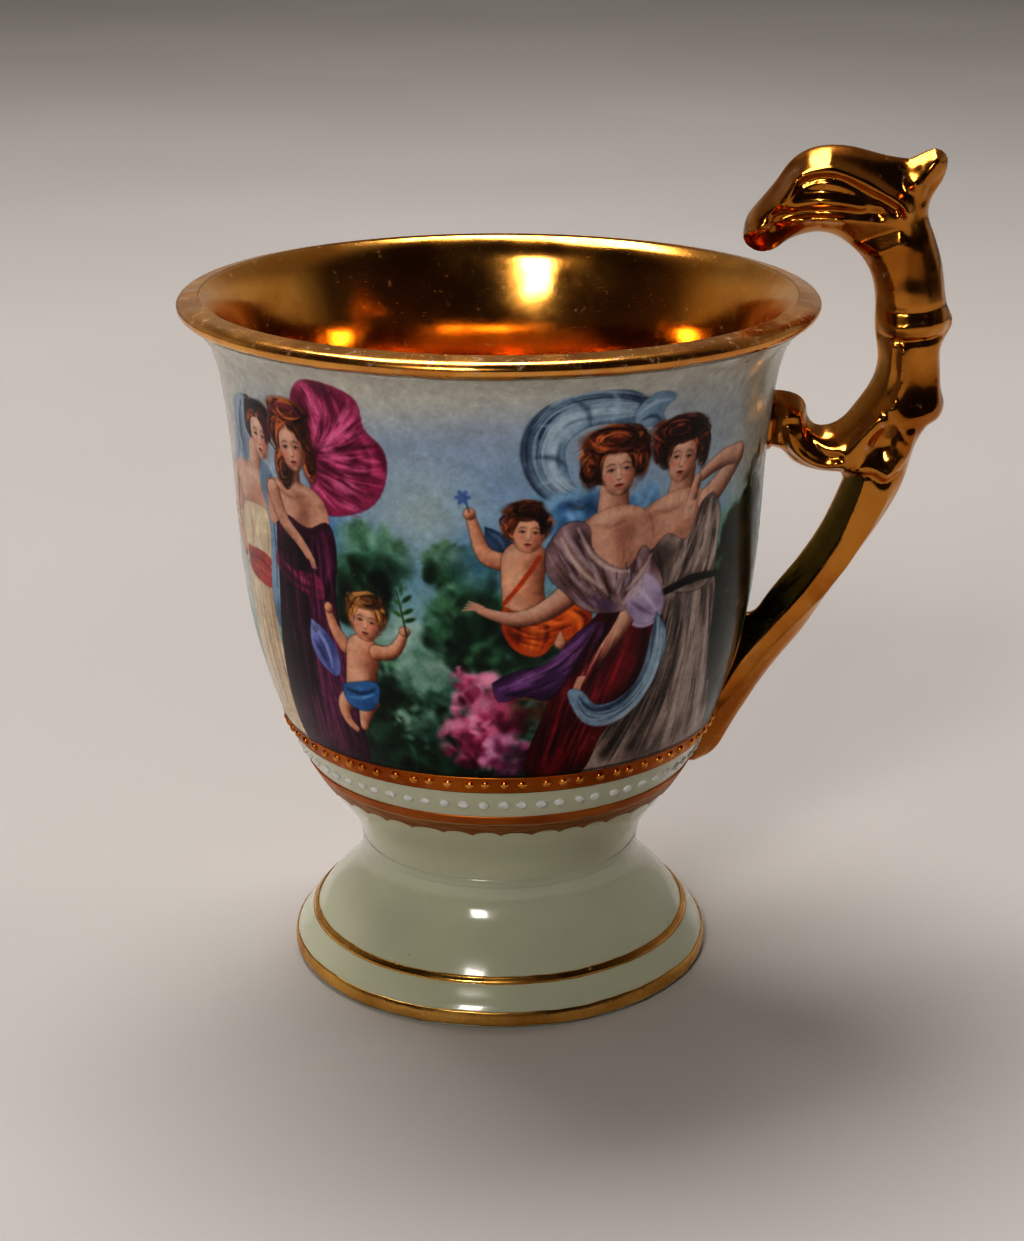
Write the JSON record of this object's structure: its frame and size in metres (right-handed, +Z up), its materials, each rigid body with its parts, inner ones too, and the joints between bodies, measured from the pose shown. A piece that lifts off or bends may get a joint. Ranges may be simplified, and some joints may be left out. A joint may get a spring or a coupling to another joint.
{
  "type": "shaving mug",
  "caption": "Gilt porcelain shaving mug: a deep flared cup on a pedestal foot, with a painted garden scene, beaded bands and a raking scroll handle with a beaked head.",
  "frame": {"origin": "centre of the foot ring's base, on the surface that the mug stands on", "axes": "+Z up along the cup's axis, +X towards the handle"},
  "size_m": [0.109, 0.09, 0.12],
  "materials": {
    "porcelain": "white porcelain under clear glaze",
    "celadon_porcelain": "pale celadon green ground under clear glaze",
    "gilt_porcelain": "porcelain under burnished gold",
    "burnished_gold": "burnished gold fired on the glaze",
    "painted_enamel": "coloured enamel scene under a glossy flux",
    "white_enamel": "raised white enamel"
  },
  "bodies": {
    "root": {"bowl": "porcelain", "pedestal_foot": "celadon_porcelain", "handle": "gilt_porcelain", "foot_luting_seam": "celadon_porcelain", "upper_handle_luting_pad": "gilt_porcelain", "lower_handle_luting_pad": "gilt_porcelain", "interior_gilding": "burnished_gold", "rim_gilding": "burnished_gold", "scenic_transfer": "painted_enamel", "gilt_bead_band": "burnished_gold", "raised_gilt_beads": "burnished_gold", "white_enamel_dots": "white_enamel", "gilt_scallop_band": "burnished_gold", "foot_gilt_line": "burnished_gold", "foot_edge_gilding": "burnished_gold"}
  },
  "joints": []
}
